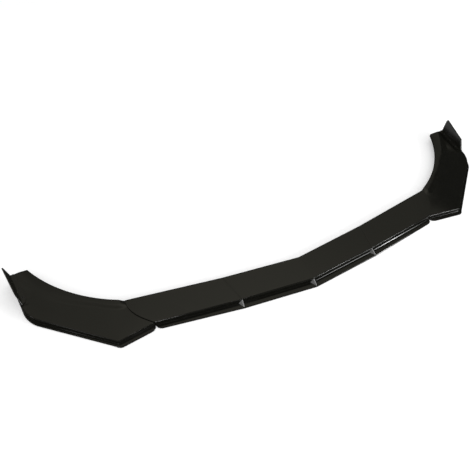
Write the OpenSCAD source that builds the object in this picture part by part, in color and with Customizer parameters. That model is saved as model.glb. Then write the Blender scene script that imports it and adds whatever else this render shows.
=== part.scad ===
// Front splitter lip for a car bumper: a centre section, two swept end sections lapped
// under its ends, and an upright winglet screwed to each end section.
// X runs across the car, Y from the nose to the rear and Z up. The blades lie on Z = 0.
// Plans are measured from the nose, and every piece is then moved back by half the depth.
// The right-hand pieces are drawn, and the left-hand ones are their mirror images.

/* [Centre section] */
// Distance from the centre line to the kink in the front wall
kink_x = 248; // [200:1:300]
// How far the front wall has swept back at the kink
kink_sweep = 27; // [15:1:45]
// Distance from the centre line to the front end of the joint
joint_x = 524; // [480:1:560]
// How far the front wall has swept back at the joint
joint_sweep = 66; // [50:1:75]
// Depth from the front wall to the rear edge on the centre line
nose_depth = 100; // [85:1:115]
// Depth from the front wall to the rear edge at the kink
kink_depth = 106; // [90:1:120]
// Depth from the front wall to the rear edge at the joint
joint_depth = 120; // [105:1:130]
// How far the crease at the kink slants outward on its way to the rear
kink_skew = 20; // [0:1:35]
// How far the joint slants outward on its way to the rear
joint_skew = 58; // [50:1:75]
// Distance from the chord of the joint's ends to the control point of its curved line
joint_bow = 35; // [20:1:40]
// Depth of the crease across the top skin at the kink
crease_depth = 0.6; // [0.3:0.1:1]
// Height of the top skin at the front wall
front_h = 20; // [18:0.5:24]
// Height of the top skin at the rear edge
rear_h = 26; // [24:0.5:32]

/* [End sections] */
// Distance from the centre line to the front corner of the wall
corner_x = 649; // [620:1:670]
// Distance from the nose back to the front corner of the wall
corner_y = 74; // [60:1:82]
// Radius of the front corner
corner_r = 10; // [6:1:20]
// Distance from the centre line to the side corner of the wall
side_x = 877; // [850:1:900]
// Distance from the nose back to the side corner of the wall
side_y = 287; // [255:1:300]
// Radius of the side corner
side_r = 105; // [60:1:120]
// Distance from the centre line to the outer rear corner
tail_x = 892; // [875:1:910]
// Distance from the nose back to the outer rear corner
tail_y = 463; // [435:1:475]
// Distance from the centre line to the inner rear corner
tail_in_x = 830; // [805:1:840]
// Distance from the nose back to the inner rear corner, which is the overall depth
tail_in_y = 469; // [456:1:490]
// How far the concave inner edge bows out from its chord
inner_bow = 34; // [20:1:50]
// Height of the plate at the outer rear corner
tail_h = 37; // [32:1:44]
// Height of the plate at the inner rear corner, without the band
tail_in_h = 27; // [24:1:32]
// Height of the raised band along the inner edge
band_h = 5; // [2:0.5:8]
// Width of the band at the joint
band_w_joint = 36; // [30:1:46]
// Width of the band where it is widest
band_w_wide = 57; // [50:1:66]
// Width of the band at the rear
band_w_tail = 54; // [44:1:55]
// Depth of the flange under the inner edge at the rear
inner_flange = 8; // [3:1:12]

/* [Skins and blades] */
// Wall thickness of the moulded skins
skin = 3; // [2.5:0.1:3.4]
// Thickness of the blade along the foot of the front wall
blade_t = 4; // [3:0.5:6]
// How far the blade stands out in front of the wall at the nose
nose_reach = 23; // [15:1:30]
// How far the blade stands out at the joint and along the front of the end sections
joint_reach = 16; // [10:1:20]
// How far the blade stands out along the swept side of the end sections
side_reach = 10; // [6:1:16]
// How far the blade stands out at the rear
tail_reach = 1; // [0.5:0.5:2]
// Radius over the top of the front wall
brow_r = 5; // [4:0.5:6]
// Radius over the rear edges of the skins
edge_r = 2; // [1:0.25:2.25]

/* [Gussets and ribs] */
// Half width of a gusset where it meets the wall
gusset_half = 13; // [8:1:18]
// Width of a gusset's front edge
gusset_edge = 3; // [2:0.5:4]
// Distance from a gusset's tip back from the blade's edge
gusset_back = 3; // [2:0.5:5]
// Thickness of the ribs under the skins
rib_t = 2.4; // [1.6:0.2:3]
// Depth of the ribs below the skin at their rear end
rib_rear_depth = 5; // [3:0.5:7]
// Spacing of the ribs along the centre section
rib_pitch = 62; // [50:1:75]
// Number of ribs under each half of the centre section
rib_count = 6; // [3:1:7]

/* [Joints] */
// How far each end section reaches in under the skin of the centre section
lap = 12; // [8:1:16]
// Gap between the two skins where they lap
lap_gap = 0.3; // [0.2:0.1:0.6]
// Gap between the front walls at the joint
joint_gap = 3; // [2.5:0.5:4]
// Height of the tongue's upper face
tongue_h = 10; // [9:0.5:11]
// Thickness of the tongue
tongue_t = 3; // [2.5:0.5:3.5]
// Length of the tongue beyond the lap
tongue_len = 48; // [42:1:56]
// Distance from the lap to the line of joint screws
joint_screw_in = 20; // [16:1:26]

/* [Winglets] */
// Length of the winglet along its foot
winglet_len = 131; // [110:1:140]
// Distance from the side corner back to the front of the winglet
winglet_from = 45; // [38:1:60]
// Height of the fin at the top of its front edge
fin_front_h = 33; // [30:1:46]
// Height of the fin at its rear
fin_rear_h = 50; // [42:1:60]
// Distance from the front of the winglet to the top of the front edge
fin_slant = 27; // [20:1:40]
// How far the top of the fin's rear edge stands behind its foot
fin_rear_back = 6; // [0:1:10]
// Lean of the fin outward from upright, in degrees
fin_lean = 15; // [0:1:20]
// Thickness of the fin at its foot
fin_t = 5; // [4:0.5:6]
// Thickness of the fin at its highest point
fin_top_t = 3.5; // [3:0.5:4]
// Width of the foot, from the fin inward
foot_w = 16; // [14:1:18]
// Thickness of the foot
foot_t = 3; // [2.6:0.2:4]
// Height of the landing above the plate's corners
landing_h = 0.8; // [0.6:0.1:1.5]
// Distance from the outer face of the wall to the middle of the fin
fin_inset = 5; // [4:0.5:6]

/* [Fasteners] */
// Diameter of the screws
screw_d = 4; // [3.5:0.1:4.2]
// Clearance around a screw where it passes through a tongue or a foot
screw_slack = 0.3; // [0.2:0.05:0.4]
// Clearance around a screw in its boss
boss_slack = 0.05; // [0.03:0.01:0.1]
// Length of the screws under the head
screw_len = 11; // [10:0.5:12]
// Wall of a screw boss around its hole
boss_wall = 2.6; // [2:0.1:3]
// Diameter of a joint screw's pan head
pan_d = 8; // [7:0.1:8.5]
// Height of a joint screw's pan head
pan_h = 2.6; // [2:0.1:2.8]
// Diameter of a winglet screw's countersunk head
sunk_d = 7.6; // [7:0.1:8]
// Height of a winglet screw's countersunk head
sunk_h = 2.2; // [1.8:0.1:2.4]
// Outer diameter of the washers
washer_d = 11; // [9:0.5:12]
// Thickness of the washers
washer_t = 1; // [0.8:0.1:1.2]

/* [Hidden] */
$fn = 48;
gloss_black = [0.10, 0.10, 0.09];
screw_black = [0.16, 0.16, 0.17];
washer_zinc = [0.62, 0.63, 0.65];
sunk = 1; // how far ribs, bosses and gussets run into the skin that carries them
away = 400; // a length beyond any piece, for cutters
blade_soft = 1.5; // how far the slopes at the blade's edge reach in
blade_blunt = 0.35 * blade_t; // height of those slopes
joint_screws = 3; // the screws in each joint, which NODES lists by name
winglet_screws = 3; // the screws under each winglet, likewise

// Plan points of the centre section's front wall and rear edge
nose_w = [0, nose_reach];
kink_w = [kink_x, nose_reach + kink_sweep];
joint_w = [joint_x, nose_reach + joint_sweep];
nose_r = nose_w + [0, nose_depth];
kink_r = kink_w + [kink_skew, kink_depth];
joint_r = joint_w + [joint_skew, joint_depth];

arch_back = 6; // how far inside the joint the concave inner edge begins
lap_behind = lap - 2; // how far the lap's front end stands behind the wall
lap_inside = lap - 3; // and inside the joint
lap_under = 4; // how far its rear end stands in front of the rear edge
crease_half = 1.5; // half the width of the crease at the kink
// Directions at the joint: along it to the rear, across it to the outside, along the rear edge
seam = unit(joint_r - joint_w);
seam_out = outward(seam);
rear_run = unit(joint_r - kink_r);

// Plan points of the end section's wall and inner edge
end_w = joint_w + [joint_gap, joint_gap / 2];
corner_w = [corner_x, corner_y];
side_w = [side_x, side_y];
tail_w = [tail_x, tail_y];
arch_from = joint_r - rear_run * arch_back;
arch_to = [tail_in_x, tail_in_y];
lap_w = joint_w + seam * lap_behind - seam_out * lap_inside;
lap_r = arch_from - rear_run * lap - seam * lap_under;

// Heights of the end section's plate, under the lap and along its outer and inner edges
end_front_h = front_h - skin - lap_gap;
function end_outer_h(y) =
    end_front_h + (tail_h - end_front_h) * pow(max(0, y - corner_y) / (tail_y - corner_y), 2);
function centre_top(p) =
    let (f = along(p, kink_w, joint_w), w = mix(kink_w, joint_w, f), r = mix(kink_r, joint_r, f))
    mix(front_h, rear_h, (p.y - w.y) / (r.y - w.y));
function under_centre(p) = centre_top(p) - skin - lap_gap;

function mix(a, b, t) = a + (b - a) * t;
function unit(v) = v / norm(v);
function outward(d) = [d.y, -d.x];
function along(p, a, b) = ((p - a) * (b - a)) / ((b - a) * (b - a));
function ease(t) = t <= 0 ? 0 : t >= 1 ? 1 : t * t * (3 - 2 * t);
function mirrored(p) = [-p.x, p.y];
function at(p, z) = [p.x, p.y, z];
function flip(list) = [for (i = [len(list) - 1:-1:0]) list[i]];

// A run of [point, outward normal] pairs from a to b, without b itself
function run(a, b, steps) = [for (i = [0:steps - 1]) [mix(a, b, i / steps), outward(unit(b - a))]];
// The centre of the fillet at corner b of the path a, b, c
function fillet_centre(a, b, c, r) =
    let (n1 = outward(unit(b - a)), n2 = outward(unit(c - b)))
    b - (n1 + n2) * (r / (1 + n1 * n2));
function fillet_start(a, b, c, r) = fillet_centre(a, b, c, r) + outward(unit(b - a)) * r;
function fillet_end(a, b, c, r) = fillet_centre(a, b, c, r) + outward(unit(c - b)) * r;
function fillet(a, b, c, r, steps) =
    let (n1 = outward(unit(b - a)), n2 = outward(unit(c - b)), m = fillet_centre(a, b, c, r))
    [for (i = [0:steps - 1]) let (n = unit(mix(n1, n2, i / steps))) [m + n * r, n]];

// The rounded-off height of the band at a share q of its width from the inner edge
function bump(q) = 1 - ease((q - 0.5) * 2);

// How far the joint's line stands out from its chord at a share q of the chord from the rear.
// It is a curve with one control point, at joint_bow from the chord.
joint_bow_at = 0.32; // share of the chord, from the rear, at which the control point stands
function bow(q) =
    let (
        k = joint_bow_at,
        t = (sqrt(k * k + (1 - 2 * k) * q) - k) / (1 - 2 * k)
    )
    2 * t * (1 - t);

// One cross-section of a skin with its front wall and blade, as a closed ring of points.
// r is the plan point of the inner or rear edge, w that of the wall and n the wall's normal.
// The ring runs from the rear edge over the top to the blade, and back underneath.
// bulge bends its line outward, and foot, where given, fills the hollow down to those heights.
function section(r, w, n, reach, zr, zw, steps, band_w, band, flange, bulge = 0, foot = undef) =
    let (
        wide = norm(w - r),
        u = (w - r) / wide,
        side = -outward(u),
        top = function (s) mix(zr, zw, s / wide) + band * bump(s / band_w),
        under = function (s) is_undef(foot) ? top(s) - skin : mix(foot[0], foot[1], s / wide),
        place = function (s, z) at(r + u * s + side * bulge * bow(s / wide), z),
        turn = [0, 30, 60, 90],
        soft = min(blade_soft, reach * 0.3),
        half_way = (band_w + wide - brow_r) / 2,
        rear_low = top(0) - edge_r - flange,
        wall_low = is_undef(foot) ? top(wide) - brow_r - sunk : foot[1],
        blade = function (f, z) at(w + n * f, z)
    )
    concat(
        [place(0, rear_low)],
        [for (a = turn) place(edge_r * (1 - cos(a)), top(edge_r * (1 - cos(a))) - edge_r * (1 - sin(a)))],
        [for (f = steps) place(band_w * f, top(band_w * f))],
        [place(half_way, top(half_way))],
        [for (a = flip(turn))
            let (s = wide - brow_r * (1 - cos(a)))
            place(s, top(s) - brow_r * (1 - sin(a)))],
        [blade(0, blade_t + soft), blade(soft, blade_t), blade(reach - soft, blade_t)],
        [blade(reach, blade_t - blade_blunt), blade(reach, blade_blunt), blade(reach - soft, 0)],
        [place(wide - skin, 0), place(wide - skin, wall_low)],
        [place(wide - brow_r, under(wide - brow_r)), place(half_way, under(half_way))],
        [for (f = flip(steps)) place(band_w * f, under(band_w * f))],
        [place(skin + 1, under(skin + 1)), place(skin, rear_low)]
    );

// The triangles of the end face of a skin that has m steps, fanned out from chosen corners
function fan(list) = [for (i = [1:len(list) - 2]) [list[0], list[i], list[i + 1]]];
function end_face(m) =
    let (n = 22 + 2 * m)
    concat(
        fan([n - 1, 0, 1, 2, 3, 4, n - 2]),
        [for (k = [0:m + 1]) each fan([4 + k, 5 + k, n - 3 - k, n - 2 - k])],
        fan([18 + m, 6 + m, 7 + m, 8 + m, 9 + m, 17 + m]),
        fan([16 + m, 17 + m, for (k = [9:15]) k + m])
    );

// Joins rings of points into one closed body. The ends are single faces, or those of end_face.
module loft(rings, ends = undef) {
    n = len(rings[0]);
    last = (len(rings) - 1) * n;
    sides = [
        for (i = [0:len(rings) - 2], j = [0:n - 1])
            let (k = (j + 1) % n, a = i * n, b = a + n)
            each [[a + j, b + j, b + k], [a + j, b + k, a + k]]
    ];
    first_end = is_undef(ends) ? [[for (j = [0:n - 1]) j]] : ends;
    last_end = [for (face = first_end) [for (j = flip(face)) last + j]];
    polyhedron([for (ring = rings) each ring], concat(sides, first_end, last_end), convexity = 8);
}

// Everything is drawn from the nose and moved back so that the origin is under the middle
module placed() {
    translate([0, -tail_in_y / 2, 0])
        children();
}

// Centre section
centre_steps = [0.08, 0.18, 0.3, 0.45, 0.6, 0.8, 1];
centre_spread = 0.82; // share of a section's width that its steps are spread over
end_round = joint_reach * 1.25;
joint_from = 1 - end_round / norm(joint_w - kink_w);
nose_run = norm(kink_w - nose_w);
side_run = norm(joint_w - kink_w);
// The wall's normals on the two runs of the right half, and at the kink between them
nose_n = outward(unit(kink_w - nose_w));
side_n = outward(unit(joint_w - kink_w));
kink_n = unit(nose_n + side_n);
// A station is [wall point, rear point, normal, reach of the blade, bulge, depth of the crease]
function nose_station(f) = [mix(nose_w, kink_w, f), mix(nose_r, kink_r, f), nose_n, nose_reach, 0, 0];
function side_station(f, reach) =
    [mix(kink_w, joint_w, f), mix(kink_r, joint_r, f), side_n, reach, joint_bow * pow(f, 8), 0];
half_stations = concat(
    [for (i = [1:3]) nose_station(i / 4)],
    [nose_station(1 - crease_half / nose_run)],
    [[kink_w, kink_r, kink_n, nose_reach, 0, crease_depth]],
    [side_station(crease_half / side_run, nose_reach)],
    [for (i = [1:5]) side_station(joint_from * i / 6, mix(nose_reach, joint_reach, i / 6))],
    [for (a = [0:15:90]) side_station(mix(joint_from, 1, sin(a)), max(1, joint_reach * cos(a)))]
);
function centre_ring(w, r, n, reach, bulge, dip) =
    section(r, w, n, reach, rear_h - dip, front_h - dip, centre_steps, centre_spread * norm(w - r), 0,
            skin - edge_r, bulge);
function centre_rings() = concat(
    [for (s = flip(half_stations))
        centre_ring(mirrored(s[0]), mirrored(s[1]), mirrored(s[2]), s[3], -s[4], s[5])],
    [centre_ring(nose_w, nose_r, [0, -1], nose_reach, 0, 0)],
    [for (s = half_stations) centre_ring(s[0], s[1], s[2], s[3], s[4], s[5])]
);

// A gusset is a wedge from the brow of the wall down to the blade, broad at the wall
module gusset(w, n) {
    half = gusset_edge / 2;
    tip = nose_reach - gusset_back;
    low = blade_t - sunk;
    high = front_h - brow_r / 2;
    points = [
        [-half, sunk, high], [half, sunk, high], [-half, -tip, low], [half, -tip, low],
        [-gusset_half, sunk, low], [gusset_half, sunk, low]
    ];
    faces = [[0, 1, 3, 2], [0, 2, 4], [1, 5, 3], [2, 3, 5, 4], [0, 4, 5, 1]];
    translate(at(w, 0))
        rotate([0, 0, atan2(n.x, -n.y)])
            polyhedron(points, faces);
}

// Where the screws of the right-hand joint stand, from the front to the rear, as shares of its line
first_joint_screw = 0.26;
last_joint_screw = 0.7;
function joint_screw(i) =
    let (f = mix(first_joint_screw, last_joint_screw, i / (joint_screws - 1)))
    mix(joint_w, joint_r, f) - seam_out * (lap + joint_screw_in);

module centre_rib(side, i) {
    x = i * rib_pitch;
    f = x / kink_x;
    g = (x - kink_x) / (joint_x - kink_x);
    w = x < kink_x ? mix(nose_w, kink_w, f) : mix(kink_w, joint_w, g);
    r = x < kink_x ? mix(nose_r, kink_r, f) : mix(kink_r, joint_r, g);
    wide = norm(w - r);
    u = (w - r) / wide;
    back = skin + sunk;
    brow = wide - brow_r;
    function under_top(s) = mix(rear_h, front_h, s / wide) - sunk;
    scale([side, 1, 1])
        translate(at(r, 0))
            rotate([0, 0, atan2(u.y, u.x)])
                rotate([90, 0, 0])
                    linear_extrude(rib_t, center = true)
                        polygon([
                            [back, under_top(back) - skin - rib_rear_depth], [wide - skin + sunk, blade_t],
                            [wide - skin + sunk, front_h - brow_r], [brow, under_top(brow)],
                            [back, under_top(back)]
                        ]);
}

module joint_bosses(side) {
    for (i = [0:joint_screws - 1]) {
        p = joint_screw(i);
        translate([side * p.x, p.y, tongue_h])
            cylinder(h = centre_top(p) - tongue_h - sunk, d = screw_d + 2 * boss_wall);
    }
}

module joint_boss_holes(side) {
    for (i = [0:joint_screws - 1]) {
        p = joint_screw(i);
        translate([side * p.x, p.y, tongue_h - sunk])
            cylinder(h = screw_len - washer_t - tongue_t + 2 * sunk, d = screw_d + 2 * boss_slack);
    }
}

module centre_section() {
    color(gloss_black)
        placed()
            difference() {
                union() {
                    loft(centre_rings(), end_face(len(centre_steps)));
                    gusset(nose_w, [0, -1]);
                    gusset(kink_w, kink_n);
                    gusset(mirrored(kink_w), mirrored(kink_n));
                    centre_rib(1, 0);
                    for (side = [-1, 1]) {
                        for (i = [1:rib_count])
                            centre_rib(side, i);
                        joint_bosses(side);
                    }
                }
                for (side = [-1, 1])
                    joint_boss_holes(side);
            }
}

// End section
joint_steps = 6;
front_steps = 3;
corner_steps = 5;
side_steps = 11;
turn_steps = 9;
tail_steps = 5;
end_steps = [0.3, 0.5, 0.62, 0.74, 0.86, 1];
front_from = fillet_start(end_w, corner_w, side_w, corner_r);
front_to = fillet_end(end_w, corner_w, side_w, corner_r);
side_from = fillet_start(corner_w, side_w, tail_w, side_r);
side_to = fillet_end(corner_w, side_w, tail_w, side_r);
blade_open = mix(end_w, front_from, joint_reach * 1.4 / norm(front_from - end_w));
// The last station of each stretch of the wall
at_open = joint_steps;
at_corner = at_open + front_steps;
at_side = at_corner + corner_steps;
at_turn = at_side + side_steps;
at_tail = at_turn + turn_steps;
at_end = at_tail + tail_steps;
// Wall stations as [point, normal], from the joint round to the rear
front_n = outward(unit(front_from - end_w));
end_wall = concat(
    [for (i = [0:joint_steps - 1]) [mix(end_w, blade_open, 1 - cos(i * 90 / joint_steps)), front_n]],
    run(blade_open, front_from, front_steps),
    fillet(end_w, corner_w, side_w, corner_r, corner_steps),
    run(front_to, side_from, side_steps),
    fillet(corner_w, side_w, tail_w, side_r, turn_steps),
    run(side_to, tail_w, tail_steps),
    [[tail_w, outward(unit(tail_w - side_w))]]
);
function wall_at(i) =
    let (a = floor(i))
    a == i ? end_wall[i] : [mix(end_wall[a][0], end_wall[a + 1][0], i - a), end_wall[a][1]];
function end_reach(i) =
    i < at_open ? max(1, joint_reach * sin(i * 90 / joint_steps))
    : lookup(i, [[at_open, joint_reach], [at_corner, joint_reach], [at_side, side_reach],
                 [at_turn, side_reach], [at_tail, tail_reach + 2], [at_end, tail_reach]]);
// The share of the inner edge that each station stands at
function inner_share(i) =
    lookup(i, [[0, 0], [at_corner, 0.07], [at_side, 0.3], [at_turn, 0.68], [at_tail, 0.84], [at_end, 1]]);
// The concave inner edge is an arc over its chord
arch_chord = norm(arch_to - arch_from);
arch_radius = (arch_chord * arch_chord / 4 + inner_bow * inner_bow) / (2 * inner_bow);
arch_mid = (arch_from + arch_to) / 2 - outward(unit(arch_to - arch_from)) * (arch_radius - inner_bow);
arch_half = asin(arch_chord / 2 / arch_radius);
arch_dir = atan2((arch_from + arch_to).y / 2 - arch_mid.y, (arch_from + arch_to).x / 2 - arch_mid.x);
function arch(t) = let (a = arch_dir + arch_half * (2 * t - 1)) arch_mid + [cos(a), sin(a)] * arch_radius;
function band_width(t) = lookup(t, [[0, band_w_joint], [0.75, band_w_wide], [1, band_w_tail]]);
// The band rises from the lap between these shares of the inner edge
rise_from = 0.035;
rise_to = 0.07;
function end_ring(i, foot = undef) =
    let (
        t = inner_share(i),
        wall = wall_at(i),
        risen = ease((t - rise_from) / (rise_to - rise_from)),
        zr = mix(under_centre(arch_from), mix(rear_h - band_h, tail_in_h, t), risen)
    )
    section(arch(t), wall[0], wall[1], end_reach(i), zr, end_outer_h(wall[0].y), end_steps, band_width(t),
            band_h * risen, mix(skin - edge_r, inner_flange, risen), 0, foot);
// The part under the lap starts with a bulkhead, which carries the tongue
tongue_foot = tongue_h - tongue_t;
bulkhead_foot = tongue_foot - sunk / 2;
ramp = 0.2; // length over which a bulkhead's inner face slopes
function lap_ring(out, foot = undef) =
    let (r = lap_r + rear_run * out, w = lap_w + rear_run * out)
    section(r, w, front_n, 1, under_centre(r), under_centre(w), end_steps, band_w_joint, 0,
            skin - edge_r, 0, foot);
// The rear ends in a bulkhead too, from under the inner flange down to the blade
tail_foot = [tail_in_h - inner_flange, sunk];
tail_pitch = norm(tail_w - side_to) / tail_steps;
function end_rings() = concat(
    [for (out = [0, skin]) lap_ring(out, [bulkhead_foot, bulkhead_foot])],
    [lap_ring(skin + ramp)],
    [for (i = [0:at_end - 1]) end_ring(i)],
    [end_ring(at_end - (skin + ramp) / tail_pitch)],
    [for (back = [skin, 0]) end_ring(at_end - back / tail_pitch, tail_foot)]
);

tongue_front_in = 2; // how far the tongue's front edge stands inside the bulkhead's
tongue_rear_in = 6; // and its rear edge
module tongue() {
    front = lap_w + seam * tongue_front_in + rear_run * skin / 2;
    rear = lap_r - seam * tongue_rear_in + rear_run * skin / 2;
    inboard = -rear_run * (tongue_len + sunk);
    translate([0, 0, tongue_foot])
        linear_extrude(tongue_t)
            polygon([front, rear, rear + inboard, front + inboard]);
}

module end_section() {
    difference() {
        union() {
            loft(end_rings(), end_face(len(end_steps)));
            tongue();
            winglet_frame() winglet_landing();
        }
        for (i = [0:joint_screws - 1])
            translate(at(joint_screw(i), 0))
                cylinder(h = front_h, d = screw_d + 2 * screw_slack);
        winglet_frame()
            for (i = [0:winglet_screws - 1])
                translate([winglet_screw_x, winglet_screw_y(i), -away])
                    cylinder(h = away + sunk, d = screw_d + 2 * boss_slack);
    }
}

module left_end_section() {
    color(gloss_black) placed() mirror([1, 0, 0]) end_section();
}

module right_end_section() {
    color(gloss_black) placed() end_section();
}

// Winglet, in a frame of its own: Y along the foot, Z square to the landing, X outward
tail_run = unit(tail_w - side_w);
winglet_at = side_w + tail_run * winglet_from - outward(tail_run) * fin_inset;
landing_front_h = end_outer_h(winglet_at.y) + landing_h;
landing_slope = atan((tail_h + landing_h - landing_front_h) / (tail_y - winglet_at.y));
foot_nose = 16; // length over which the foot widens at its front
foot_corner = 4; // its rear corner, cut off
foot_in = 1; // how far the foot ends inside the ends of the fin
winglet_screw_x = -foot_w / 2 - fin_t / 4;
first_winglet_screw = 0.2; // shares of the winglet's length
last_winglet_screw = 0.8;
function winglet_screw_y(i) =
    winglet_len * mix(first_winglet_screw, last_winglet_screw, i / (winglet_screws - 1));

module winglet_frame() {
    translate(at(winglet_at, landing_front_h))
        rotate([landing_slope, 0, -atan2(tail_run.x, tail_run.y)])
            children();
}

module winglet_landing() {
    translate([-foot_w - 1, -2, -2 * skin])
        cube([foot_w + fin_inset, winglet_len + 2, 2 * skin]);
    for (i = [0:winglet_screws - 1])
        translate([winglet_screw_x, winglet_screw_y(i), -screw_len - 2])
            cylinder(h = screw_len, d = screw_d + 2 * boss_wall);
}

// Side outline of the fin, as [distance along the foot, height]
fin_foot = [0, foot_t];
fin_brow = [fin_slant, fin_front_h];
fin_peak = [winglet_len + fin_rear_back, fin_rear_h];
fin_heel = [winglet_len, foot_t];
fin_back = fin_rear_back / (fin_rear_h - foot_t); // slope of the fin's rear edge
fin_brow_r = 9;
fin_peak_r = 6;
fin_soft = 1.2; // rounding of the fin's edges
function outline_turn(a, b, c, r, steps) =
    let (n1 = -outward(unit(b - a)), n2 = -outward(unit(c - b)), m = b - (n1 + n2) * (r / (1 + n1 * n2)))
    [for (i = [0:steps]) m + unit(mix(n1, n2, i / steps)) * r];
fin_outline = concat(
    [fin_foot],
    outline_turn(fin_foot, fin_brow, fin_peak, fin_brow_r, 4),
    outline_turn(fin_brow, fin_peak, fin_heel, fin_peak_r, 5)
);
// A ring across the fin, parallel to its rear edge, under the point [y, h] of its outline
function fin_ring(y, h) =
    let (
        lean = tan(fin_lean),
        half = function (z) mix(fin_t, fin_top_t, z / fin_rear_h) / 2,
        soft = min(fin_soft, half(h) * 0.6),
        edge = function (side, z, in) [lean * z + side * (half(z) - in), y + fin_back * (z - h), z]
    )
    [
        edge(-1, 0, 0), edge(-1, h - soft, 0), edge(-1, h - soft * 0.3, soft * 0.3), edge(-1, h, soft),
        edge(1, h, soft), edge(1, h - soft * 0.3, soft * 0.3), edge(1, h - soft, 0), edge(1, 0, 0)
    ];

module winglet() {
    winglet_frame()
        difference() {
            union() {
                loft([for (p = fin_outline) fin_ring(p[0], p[1])]);
                linear_extrude(foot_t)
                    polygon([
                        [0, foot_in], [-foot_w * 0.6, foot_nose / 3], [-foot_w, foot_nose],
                        [-foot_w, winglet_len - foot_corner],
                        [-foot_w + foot_corner, winglet_len - foot_in], [0, winglet_len - foot_in]
                    ]);
            }
            for (i = [0:winglet_screws - 1])
                translate([winglet_screw_x, winglet_screw_y(i), 0]) {
                    translate([0, 0, -sunk])
                        cylinder(h = foot_t + 2 * sunk, d = screw_d + 2 * screw_slack);
                    translate([0, 0, foot_t - sunk_h])
                        cylinder(h = sunk_h, d1 = screw_d, d2 = sunk_d);
                }
        }
}

module left_winglet() {
    color(gloss_black) placed() mirror([1, 0, 0]) winglet();
}

module right_winglet() {
    color(gloss_black) placed() winglet();
}

// Fasteners, each drawn with its shank up the Z axis
module pan_screw() {
    difference() {
        union() {
            cylinder(h = screw_len, d = screw_d);
            translate([0, 0, -pan_h])
                cylinder(h = pan_h, d = pan_d);
        }
        cross_recess(-pan_h - sunk);
    }
}

module sunk_screw() {
    difference() {
        union() {
            cylinder(h = sunk_h, d1 = sunk_d - 2 * boss_slack, d2 = screw_d);
            cylinder(h = screw_len, d = screw_d);
        }
        cross_recess(-sunk);
    }
}

recess_w = 1;
recess_deep = 1.4;
module cross_recess(z) {
    for (a = [0, 90])
        translate([0, 0, z])
            rotate([0, 0, a])
                translate([-pan_d / 4, -recess_w / 2, 0])
                    cube([pan_d / 2, recess_w, recess_deep + sunk]);
}

module joint_screw_at(side, i) {
    color(screw_black)
        placed()
            translate([side * joint_screw(i).x, joint_screw(i).y, tongue_foot - washer_t])
                pan_screw();
}

module joint_washer_at(side, i) {
    color(washer_zinc)
        placed()
            translate([side * joint_screw(i).x, joint_screw(i).y, tongue_foot - washer_t])
                difference() {
                    cylinder(h = washer_t, d = washer_d);
                    translate([0, 0, -sunk])
                        cylinder(h = washer_t + 2 * sunk, d = screw_d + 2 * screw_slack);
                }
}

module winglet_screw_at(i) {
    winglet_frame()
        translate([winglet_screw_x, winglet_screw_y(i), foot_t])
            mirror([0, 0, 1])
                sunk_screw();
}

module right_winglet_screw(i) {
    color(screw_black) placed() winglet_screw_at(i);
}

module left_winglet_screw(i) {
    color(screw_black) placed() mirror([1, 0, 0]) winglet_screw_at(i);
}

centre_section();
left_end_section();
right_end_section();
left_winglet();
right_winglet();
joint_screw_at(-1, 0);  // left_joint_screw_front
joint_screw_at(-1, 1);  // left_joint_screw_middle
joint_screw_at(-1, 2);  // left_joint_screw_rear
joint_screw_at(1, 0);  // right_joint_screw_front
joint_screw_at(1, 1);  // right_joint_screw_middle
joint_screw_at(1, 2);  // right_joint_screw_rear
joint_washer_at(-1, 0);  // left_joint_washer_front
joint_washer_at(-1, 1);  // left_joint_washer_middle
joint_washer_at(-1, 2);  // left_joint_washer_rear
joint_washer_at(1, 0);  // right_joint_washer_front
joint_washer_at(1, 1);  // right_joint_washer_middle
joint_washer_at(1, 2);  // right_joint_washer_rear
left_winglet_screw(0);  // left_winglet_screw_front
left_winglet_screw(1);  // left_winglet_screw_middle
left_winglet_screw(2);  // left_winglet_screw_rear
right_winglet_screw(0);  // right_winglet_screw_front
right_winglet_screw(1);  // right_winglet_screw_middle
right_winglet_screw(2);  // right_winglet_screw_rear
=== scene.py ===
import math

import bmesh
import bpy
from mathutils import Matrix, Vector


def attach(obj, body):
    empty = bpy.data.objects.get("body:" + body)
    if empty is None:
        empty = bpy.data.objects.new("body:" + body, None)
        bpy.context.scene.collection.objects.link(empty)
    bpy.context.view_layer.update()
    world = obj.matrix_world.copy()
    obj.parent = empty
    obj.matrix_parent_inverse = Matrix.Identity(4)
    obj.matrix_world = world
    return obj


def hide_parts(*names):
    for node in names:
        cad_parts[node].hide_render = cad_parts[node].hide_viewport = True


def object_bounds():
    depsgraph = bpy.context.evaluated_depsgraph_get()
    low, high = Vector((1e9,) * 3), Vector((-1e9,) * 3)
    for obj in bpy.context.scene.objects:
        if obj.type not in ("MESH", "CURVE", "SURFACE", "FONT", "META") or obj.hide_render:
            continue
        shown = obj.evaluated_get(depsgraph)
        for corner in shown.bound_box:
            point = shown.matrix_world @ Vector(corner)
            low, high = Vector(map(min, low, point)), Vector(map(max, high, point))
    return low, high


# A gloss black front splitter lip on a white studio floor. Lengths are in metres.

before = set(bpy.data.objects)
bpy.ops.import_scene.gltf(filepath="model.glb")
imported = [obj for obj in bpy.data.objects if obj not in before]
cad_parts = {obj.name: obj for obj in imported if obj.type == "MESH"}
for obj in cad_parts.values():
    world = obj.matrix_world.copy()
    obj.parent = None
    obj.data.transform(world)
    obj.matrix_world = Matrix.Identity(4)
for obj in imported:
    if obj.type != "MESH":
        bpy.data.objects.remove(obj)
cad_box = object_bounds()

MM = 0.001

# Radius that the mould leaves on an outside edge, and the least turn that counts as an edge
EDGE_RADIUS = 0.4 * MM
EDGE_TURN = math.radians(33)
# Faces of the skins that turn less than this are one flat face, and points closer than this are one
FLAT_TURN = math.radians(0.05)
SAME_POINT = 0.01 * MM

MOULDINGS = {
    "centre_section": "centre_plastic",
    "left_end_section": "end_plastic",
    "right_end_section": "end_plastic",
    "left_winglet": "winglet_plastic",
    "right_winglet": "winglet_plastic",
}

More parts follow.
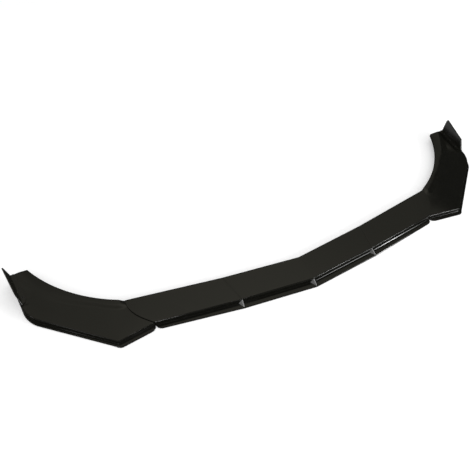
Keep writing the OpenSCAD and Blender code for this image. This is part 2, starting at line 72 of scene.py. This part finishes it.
# The camera was fitted to the outline of the part in the photo
CAMERA_AZIMUTH = math.radians(-25.474)
CAMERA_ELEVATION = math.radians(45.317)
CAMERA_ROLL = math.radians(-0.894)
CAMERA_PLACE = (-0.77531, -1.24526, 1.50680)
CAMERA_LENS_MM = 45.836
SENSOR_MM = 36

WHITE = (1, 1, 1, 1)

# What the gloss sees of the studio: a dim room with soft panels of light in it.
# Each panel is its azimuth and elevation, the angle over which it fades out, and its brightness.
ROOM_LIGHT = 0.07
PANELS = {
    "ceiling_panel": (46, 66, 32, 0.66),
    "right_panel": (34, 38, 14, 0.2),
    "rear_panel": (134, 70, 63, 0.5),
}
# The panels' cloth is a little warm, and the room takes its colour
PANEL_COLOUR = (1.0, 0.96, 0.8, 1)
# Sine of the elevation up to which the room is a white cove, and at which the cove has faded out
COVE_TOP = 0.0
COVE_END = 0.12

# Softboxes, each as its azimuth and elevation, its width and height, and its power
LAMPS = {
    "key_softbox": (314, 22, 0.9, 0.45, 12),
    "key_spot": (320, 21, 0.12, 0.2, 3),
    "left_low": (180, 8, 0.3, 0.3, 1.2),
    "left_middle": (197, 16, 0.3, 0.3, 1.2),
    "left_high": (215, 24, 0.3, 0.3, 1.2),
    "front_left": (273, 52, 0.15, 0.15, 1),
    "front_middle": (302, 46, 0.15, 0.15, 1),
    "front_right": (323, 37, 0.15, 0.15, 1),
    "front_low": (254.5, 25, 0.2, 0.3, 4),
    "right_brow": (305.5, 20, 0.25, 0.2, 6),
}
LAMP_DISTANCE = 2.6

# Black cards that only the gloss sees: they paint dark reflections into the gloss where it would show the white
# floor, and no camera ray, dull light or shadow meets them. One is upright on the right, as its x, its least and
# greatest y and its height. The others lie on the floor, each as its least and greatest x and y.
UPRIGHT_REFLECTION_CARD = (1.7, -0.5, 0.79, 1.35)
FLAT_REFLECTION_CARDS = ((-2.5, 0.0, -2.5, 2.5), (0.27, 0.52, -2.5, -0.1), (0.68, 1.7, -1.6, 1.2),
              (0.61, 0.68, 0.1, 0.7))

FLOOR_SIZE = 40
# How far the floor and the flat cards lie under the part
FLOOR_GAP = 0.05 * MM
CARD_GAP = 0.02 * MM
# Even light on dull surfaces, and what is added to the floor for the camera and in the gloss
DULL_LIGHT = 0.75
FLOOR_LIFT = 0.25


def linear(code):
    """The linear colour of an sRGB hex code."""
    parts = [int(code[i:i + 2], 16) / 255 for i in (1, 3, 5)]
    return [p / 12.92 if p <= 0.04045 else ((p + 0.055) / 1.055) ** 2.4 for p in parts] + [1]


def new_material(name):
    """An empty material, its node tree and its output node."""
    material = bpy.data.materials.new(name)
    material.use_nodes = True
    tree = material.node_tree
    tree.nodes.clear()
    return material, tree, tree.nodes.new("ShaderNodeOutputMaterial")


def add(tree, kind, values=None, links=None, **settings):
    """Adds a node with its settings, the values of its sockets and the sockets it takes from."""
    node = tree.nodes.new(kind)
    for key, value in settings.items():
        setattr(node, key, value)
    for socket, value in (values or {}).items():
        node.inputs[socket].default_value = value
    for socket, source in (links or {}).items():
        tree.links.new(source, node.inputs[socket])
    return node


def gloss_black_abs():
    """ABS, injection moulded against a polished tool: deep black under a clear, very slightly
    wavy shine, with faint rubbing marks. The underside comes from a spark-eroded tool half, so
    it is satin."""
    material, tree, output = new_material("gloss_black_abs")
    place = add(tree, "ShaderNodeTexCoord").outputs["Object"]
    waves = add(tree, "ShaderNodeTexNoise", {"Scale": 1 / (9 * MM), "Detail": 1.0}, {"Vector": place})
    marks = add(tree, "ShaderNodeTexNoise", {"Scale": 1 / (35 * MM), "Detail": 5.0, "Roughness": 0.7},
                {"Vector": place})
    grain = add(tree, "ShaderNodeTexNoise", {"Scale": 1 / (1.2 * MM), "Detail": 2.0}, {"Vector": place})
    facing = add(tree, "ShaderNodeSeparateXYZ", None,
                 {"Vector": add(tree, "ShaderNodeNewGeometry").outputs["Normal"]})
    under = add(tree, "ShaderNodeMapRange", {"From Min": -0.3, "From Max": -0.7},
                {"Value": facing.outputs["Z"]})
    polish = add(tree, "ShaderNodeMapRange", {"From Min": 0.35, "From Max": 0.7, "To Min": 0.09, "To Max": 0.14},
                 {"Value": marks.outputs["Fac"]})
    roughness = add(tree, "ShaderNodeMix", {"B": 0.5}, {"Factor": under.outputs["Result"],
                                                       "A": polish.outputs["Result"]})
    tint = add(tree, "ShaderNodeMix", {"A": linear("#12120f"), "B": linear("#141411")},
               {"Factor": marks.outputs["Fac"]}, data_type="RGBA")
    soft_waves = add(tree, "ShaderNodeBump", {"Strength": 0.03, "Distance": 0.3 * MM},
                     {"Height": waves.outputs["Fac"]})
    grain_depth = add(tree, "ShaderNodeMath", {1: 0.25}, {0: under.outputs["Result"]}, operation="MULTIPLY")
    surface = add(tree, "ShaderNodeBump", {"Distance": 0.1 * MM},
                  {"Height": grain.outputs["Fac"], "Strength": grain_depth.outputs[0],
                   "Normal": soft_waves.outputs["Normal"]})
    shader = add(tree, "ShaderNodeBsdfPrincipled", {"IOR": 1.5, "Specular IOR Level": 0.3},
                 {"Base Color": tint.outputs[2], "Roughness": roughness.outputs[0],
                  "Normal": surface.outputs["Normal"]})
    tree.links.new(shader.outputs["BSDF"], output.inputs["Surface"])
    return material


def black_oxide_steel():
    """Cold-headed steel screws in a black oxide finish: dark satin metal, with finer wear."""
    material, tree, output = new_material("black_oxide_steel")
    place = add(tree, "ShaderNodeTexCoord").outputs["Object"]
    wear = add(tree, "ShaderNodeTexNoise", {"Scale": 1 / (2 * MM), "Detail": 4.0}, {"Vector": place})
    tint = add(tree, "ShaderNodeMix", {"A": linear("#2b2b2e"), "B": linear("#4a4a4d")},
               {"Factor": wear.outputs["Fac"]}, data_type="RGBA")
    roughness = add(tree, "ShaderNodeMapRange", {"To Min": 0.35, "To Max": 0.5}, {"Value": wear.outputs["Fac"]})
    surface = add(tree, "ShaderNodeBump", {"Strength": 0.1, "Distance": 0.05 * MM},
                  {"Height": wear.outputs["Fac"]})
    shader = add(tree, "ShaderNodeBsdfPrincipled", {"Metallic": 1.0},
                 {"Base Color": tint.outputs[2], "Roughness": roughness.outputs["Result"],
                  "Normal": surface.outputs["Normal"]})
    tree.links.new(shader.outputs["BSDF"], output.inputs["Surface"])
    return material


def zinc_plated_steel():
    """Stamped steel washers, zinc plated: pale grey, softly mottled metal."""
    material, tree, output = new_material("zinc_plated_steel")
    place = add(tree, "ShaderNodeTexCoord").outputs["Object"]
    mottle = add(tree, "ShaderNodeTexNoise", {"Scale": 1 / (1.5 * MM), "Detail": 3.0}, {"Vector": place})
    tint = add(tree, "ShaderNodeMix", {"A": linear("#b4b6ba"), "B": linear("#cfd0d2")},
               {"Factor": mottle.outputs["Fac"]}, data_type="RGBA")
    roughness = add(tree, "ShaderNodeMapRange", {"To Min": 0.25, "To Max": 0.4}, {"Value": mottle.outputs["Fac"]})
    shader = add(tree, "ShaderNodeBsdfPrincipled", {"Metallic": 1.0},
                 {"Base Color": tint.outputs[2], "Roughness": roughness.outputs["Result"]})
    tree.links.new(shader.outputs["BSDF"], output.inputs["Surface"])
    return material


def moulding(node, finish):
    """The node's own shape with its facets joined, its outside edges rounded and its curves smooth.
    The fold at the nose stays sharp."""
    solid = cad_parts[node]
    mesh = bmesh.new()
    mesh.from_mesh(solid.data)
    bmesh.ops.remove_doubles(mesh, verts=mesh.verts, dist=SAME_POINT)
    bmesh.ops.dissolve_degenerate(mesh, edges=mesh.edges, dist=SAME_POINT)
    bmesh.ops.dissolve_limit(mesh, angle_limit=FLAT_TURN, verts=mesh.verts, edges=mesh.edges)
    for face in mesh.faces:
        face.smooth = True
    for edge in mesh.edges:
        at_nose = all(abs(vert.co.x) < SAME_POINT for vert in edge.verts)
        edge.smooth = not at_nose and len(edge.link_faces) == 2 and edge.calc_face_angle() < EDGE_TURN
    skin = bpy.data.meshes.new(node + "_moulding")
    mesh.to_mesh(skin)
    mesh.free()
    piece = bpy.data.objects.new(node + "_moulding", skin)
    bpy.context.scene.collection.objects.link(piece)
    skin.materials.append(finish)
    rounding = piece.modifiers.new("rounding", "BEVEL")
    rounding.width = EDGE_RADIUS
    rounding.segments = 2
    rounding.limit_method = "ANGLE"
    rounding.angle_limit = EDGE_TURN
    rounding.harden_normals = True
    shading = piece.modifiers.new("shading", "WEIGHTED_NORMAL")
    shading.keep_sharp = True
    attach(piece, "root")
    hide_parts(node)


def towards(azimuth, elevation):
    """The direction from the origin at an azimuth and elevation in degrees."""
    a, e = math.radians(azimuth), math.radians(elevation)
    return Vector((math.cos(a) * math.cos(e), math.sin(a) * math.cos(e), math.sin(e)))


def softbox(name, direction, width, height, power):
    """An area light in that direction, which faces the origin."""
    lamp = bpy.data.lights.new(name, "AREA")
    lamp.shape = "RECTANGLE"
    lamp.size, lamp.size_y = width, height
    lamp.energy = power
    holder = bpy.data.objects.new(name, lamp)
    bpy.context.scene.collection.objects.link(holder)
    holder.location = direction * LAMP_DISTANCE
    holder.rotation_euler = (-direction).to_track_quat("-Z", "Y").to_euler()
    holder.visible_camera = False


# Mouldings, screws and washers
gloss_abs = gloss_black_abs()
for node, slot in MOULDINGS.items():
    moulding(node, gloss_abs)

screw_finish = black_oxide_steel()
washer_finish = zinc_plated_steel()
for node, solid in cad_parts.items():
    if "washer" in node:
        solid.material_slots[0].material = washer_finish
    elif "screw" in node:
        solid.material_slots[0].material = screw_finish

# Floor
floor_mesh = bpy.data.meshes.new("floor")
half = FLOOR_SIZE / 2
floor_mesh.from_pydata([(-half, -half, 0), (half, -half, 0), (half, half, 0), (-half, half, 0)], [], [(0, 1, 2, 3)])
floor = bpy.data.objects.new("floor", floor_mesh)
bpy.context.scene.collection.objects.link(floor)
floor.location.z = cad_box[0].z - FLOOR_GAP
paper, paper_tree, paper_output = new_material("white_studio_paper")
paper_shader = add(paper_tree, "ShaderNodeBsdfPrincipled",
                   {"Base Color": linear("#fbfbfb"), "Roughness": 0.9, "Specular IOR Level": 0.0})
paper_rays = add(paper_tree, "ShaderNodeLightPath")
mirrored = add(paper_tree, "ShaderNodeMath", None,
               {0: paper_rays.outputs["Is Glossy Ray"], 1: paper_rays.outputs["Is Transmission Ray"]},
               operation="MAXIMUM")
seen = add(paper_tree, "ShaderNodeMath", None,
           {0: paper_rays.outputs["Is Camera Ray"], 1: mirrored.outputs[0]}, operation="MAXIMUM")
paper_lift = add(paper_tree, "ShaderNodeMath", {1: FLOOR_LIFT}, {0: seen.outputs[0]}, operation="MULTIPLY")
paper_glow = add(paper_tree, "ShaderNodeEmission", {"Color": WHITE}, {"Strength": paper_lift.outputs[0]})
paper_sum = add(paper_tree, "ShaderNodeAddShader", None,
                {0: paper_shader.outputs["BSDF"], 1: paper_glow.outputs["Emission"]})
paper_tree.links.new(paper_sum.outputs["Shader"], paper_output.inputs["Surface"])
floor_mesh.materials.append(paper)

# Studio: even light for the dull surfaces and white for the camera. The gloss sees a white cove all
# round, under a dim ceiling with soft panels.
world = bpy.data.worlds.new("studio")
bpy.context.scene.world = world
world.use_nodes = True
sky = world.node_tree
sky.nodes.clear()
direction = add(sky, "ShaderNodeTexCoord").outputs["Generated"]
room = add(sky, "ShaderNodeValue").outputs[0]
room.default_value = ROOM_LIGHT
for name, (azimuth, elevation, spread, level) in PANELS.items():
    facing = add(sky, "ShaderNodeVectorMath", {1: towards(azimuth, elevation)}, {0: direction},
                 operation="DOT_PRODUCT")
    angle = add(sky, "ShaderNodeMath", None, {0: facing.outputs["Value"]}, operation="ARCCOSINE")
    glow = add(sky, "ShaderNodeMapRange", {"From Max": math.radians(spread), "To Min": level, "To Max": 0.0},
               {"Value": angle.outputs[0]}, interpolation_type="SMOOTHSTEP", label=name)
    room = add(sky, "ShaderNodeMath", None, {0: room, 1: glow.outputs["Result"]}, operation="ADD").outputs[0]
height = add(sky, "ShaderNodeSeparateXYZ", None, {"Vector": direction})
cove = add(sky, "ShaderNodeMapRange", {"From Min": COVE_TOP, "From Max": COVE_END, "To Min": 1.0, "To Max": 0.0},
           {"Value": height.outputs["Z"]}, interpolation_type="SMOOTHSTEP", label="cove")
room = add(sky, "ShaderNodeMath", None, {0: room, 1: cove.outputs["Result"]}, operation="MAXIMUM").outputs[0]
room_colour = add(sky, "ShaderNodeMix", {"A": PANEL_COLOUR, "B": WHITE}, {"Factor": cove.outputs["Result"]},
                  data_type="RGBA")
rays = add(sky, "ShaderNodeLightPath")
shown = add(sky, "ShaderNodeMath", None,
            {0: rays.outputs["Is Glossy Ray"], 1: rays.outputs["Is Transmission Ray"]}, operation="MAXIMUM")
strength = add(sky, "ShaderNodeMix", {"A": DULL_LIGHT}, {"Factor": shown.outputs[0], "B": room})
strength = add(sky, "ShaderNodeMix", {"B": 1.0}, {"Factor": rays.outputs["Is Camera Ray"], "A": strength.outputs[0]})
colour = add(sky, "ShaderNodeMix", {"A": WHITE}, {"Factor": shown.outputs[0], "B": room_colour.outputs[2]},
             data_type="RGBA")
backdrop = add(sky, "ShaderNodeBackground", None, {"Color": colour.outputs[2], "Strength": strength.outputs[0]})
add(sky, "ShaderNodeOutputWorld", None, {"Surface": backdrop.outputs["Background"]})

# Softboxes
for name, (azimuth, elevation, width, height, power) in LAMPS.items():
    softbox(name, towards(azimuth, elevation), width, height, power)

# Black cards that paint dark reflections, seen only in the gloss
card_mesh = bpy.data.meshes.new("dark_reflection_cards")
x, y0, y1, top = UPRIGHT_REFLECTION_CARD
corners = [(x, y0, 0), (x, y1, 0), (x, y1, top), (x, y0, top)]
level = cad_box[0].z - CARD_GAP
for x0, x1, y0, y1 in FLAT_REFLECTION_CARDS:
    corners += [(x0, y0, level), (x1, y0, level), (x1, y1, level), (x0, y1, level)]
card_mesh.from_pydata(corners, [], [range(i, i + 4) for i in range(0, len(corners), 4)])
card = bpy.data.objects.new("dark_reflection_cards", card_mesh)
bpy.context.scene.collection.objects.link(card)
card_finish, card_tree, card_output = new_material("dark_reflection_card_paper")
card_shader = add(card_tree, "ShaderNodeBsdfPrincipled",
                  {"Base Color": linear("#303030"), "Roughness": 0.9, "Specular IOR Level": 0.0})
card_tree.links.new(card_shader.outputs["BSDF"], card_output.inputs["Surface"])
card_mesh.materials.append(card_finish)
# Painted dark reflection: the cards are hidden from the camera, from dull light and from shadow, so only the gloss
# sees them
card.visible_camera = False
card.visible_diffuse = False
card.visible_shadow = False

# Camera
lens = bpy.data.cameras.new("camera")
lens.sensor_width = SENSOR_MM
lens.lens = CAMERA_LENS_MM
camera = bpy.data.objects.new("camera", lens)
bpy.context.scene.collection.objects.link(camera)
right = Vector((math.cos(CAMERA_AZIMUTH), math.sin(CAMERA_AZIMUTH), 0))
back = Vector((math.sin(CAMERA_AZIMUTH) * math.cos(CAMERA_ELEVATION),
               -math.cos(CAMERA_AZIMUTH) * math.cos(CAMERA_ELEVATION), math.sin(CAMERA_ELEVATION)))
turn = Matrix((right, back.cross(right), back)).transposed().to_4x4()
camera.matrix_world = Matrix.Translation(CAMERA_PLACE) @ turn @ Matrix.Rotation(CAMERA_ROLL, 4, "Z")
bpy.context.scene.camera = camera

bpy.context.scene.view_settings.view_transform = "Standard"
